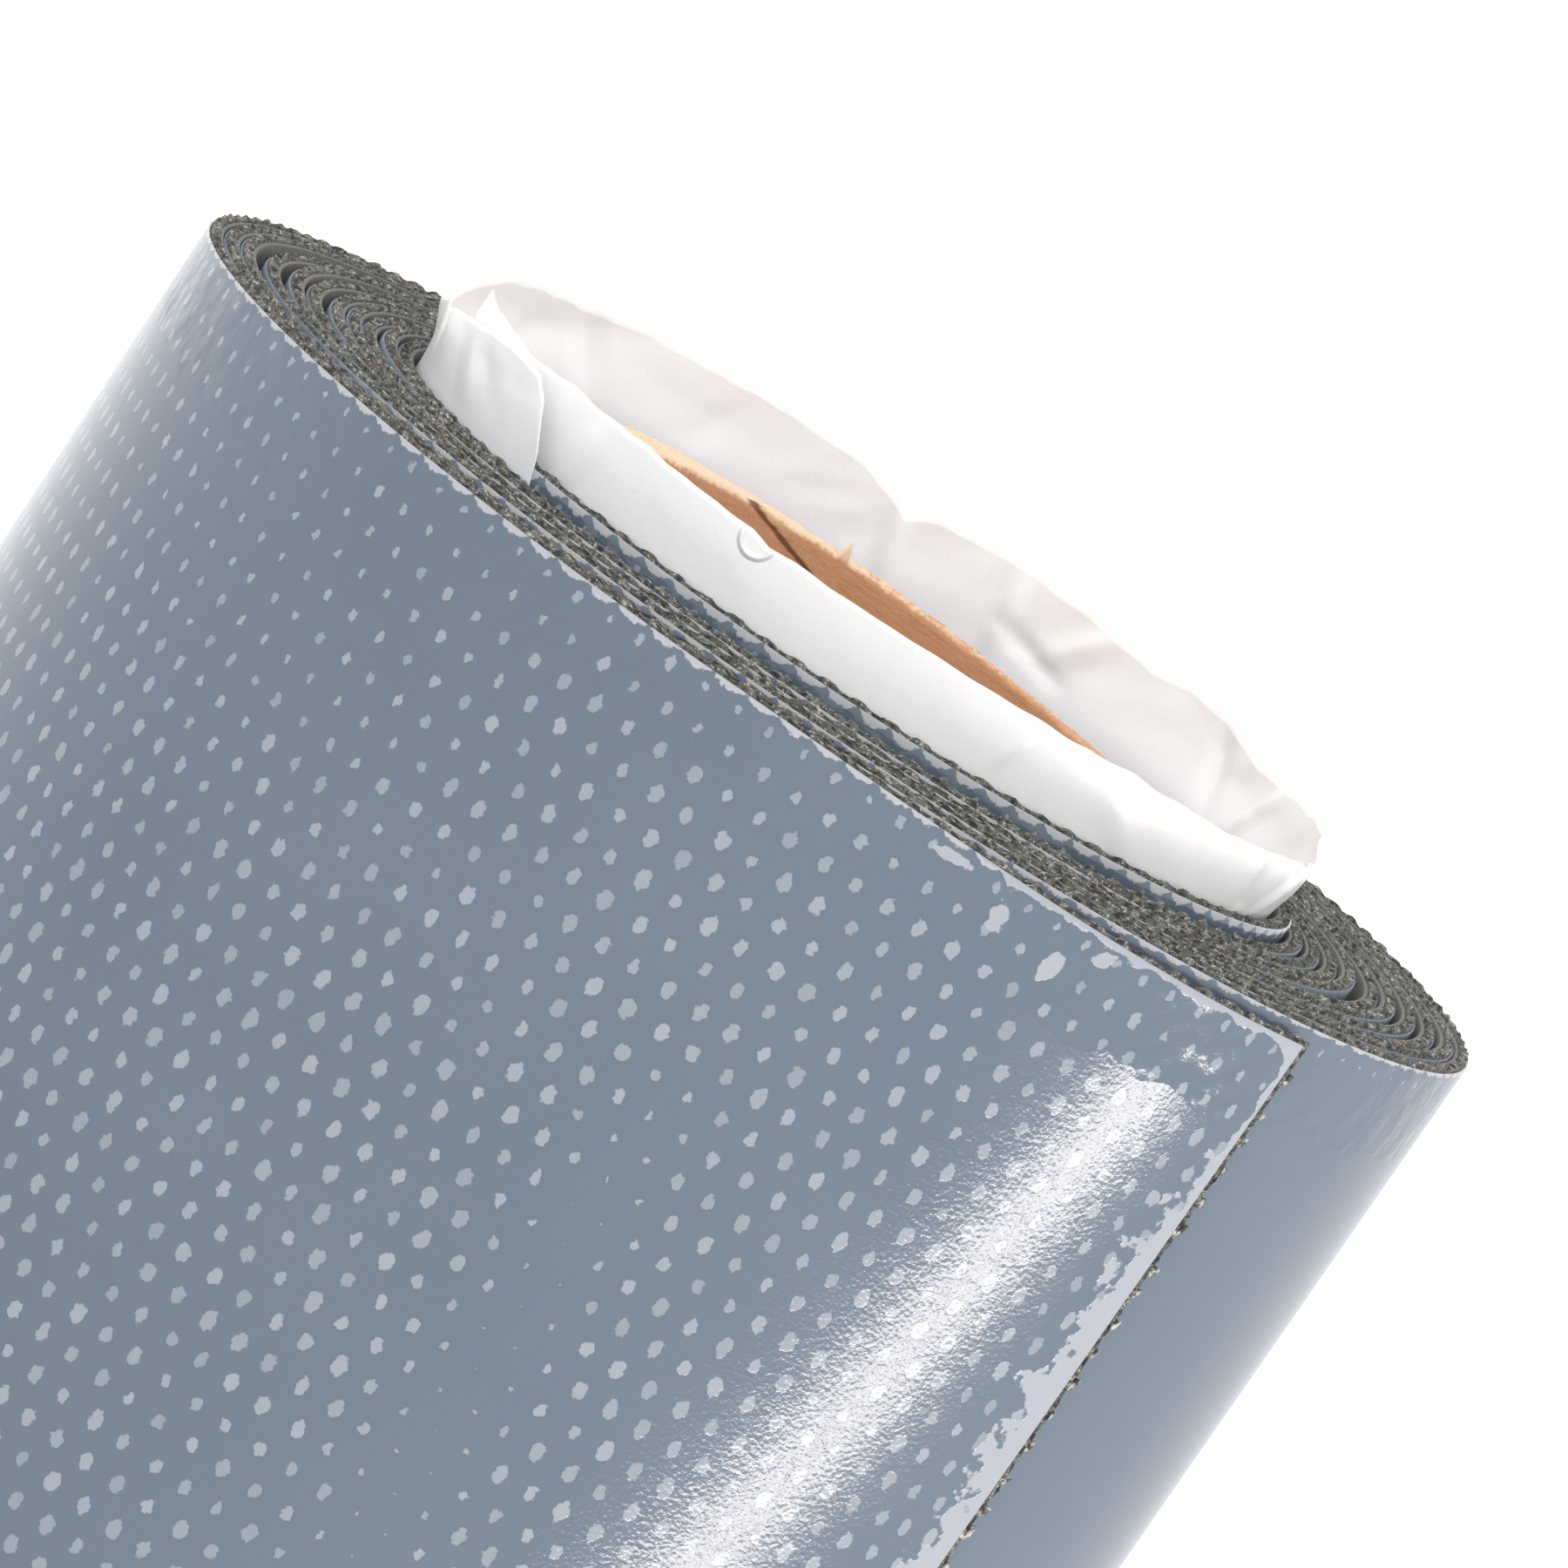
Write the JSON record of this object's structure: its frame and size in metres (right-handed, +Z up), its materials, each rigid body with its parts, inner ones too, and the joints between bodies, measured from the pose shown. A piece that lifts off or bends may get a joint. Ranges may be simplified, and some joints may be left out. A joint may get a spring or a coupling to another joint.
{
  "type": "backdrop roll",
  "caption": "Upright roll of film-faced woven backdrop sheet on a board core, with a film collar at the core and a free end that lifts and peels.",
  "frame": {"origin": "centre of the core's bore at the roll's standing end", "axes": "+Z up along the core's bore, -Y towards the side where the sheet's free end lies"},
  "size_m": [0.1277, 0.1287, 0.6685],
  "materials": {
    "board": "matt brown spiral-wound board",
    "tape": "satin adhesive tape",
    "leader_film": "milky white film, satin gloss",
    "backing_coat": "smooth dark grey coat, matt",
    "weave": "coarse dark grey weave",
    "face_film": "glossy blue-grey film over the weave, with pale air pockets"
  },
  "bodies": {
    "roll": {"core_ply_1": "board", "core_ply_2": "board", "core_ply_3": "board", "core_ply_4": "board", "core_ply_5": "board", "core_ply_6": "board", "start_tape": "tape", "leader_film": "leader_film", "leader_collar": "leader_film", "backing_coat": "backing_coat", "woven_ply": "weave", "face_film": "face_film"},
    "tail": {"tail_backing_coat": "backing_coat", "tail_woven_ply": "weave", "tail_face_film": "face_film"},
    "film_edge": {"peel_film": "face_film"}
  },
  "joints": [
    {"name": "tail_lift", "type": "hinge", "parent": "roll", "child": "tail", "pos_m": [-0.01078, -0.06382, 0.33], "axis": [0, 0, -1], "range_deg": [0, 35], "stiffness_Nm_per_rad": 0.03},
    {"name": "film_peel", "type": "hinge", "parent": "tail", "child": "film_edge", "pos_m": [0.03409, -0.05575, 0.33], "axis": [0, 0, -1], "range_deg": [0, 110]}
  ]
}
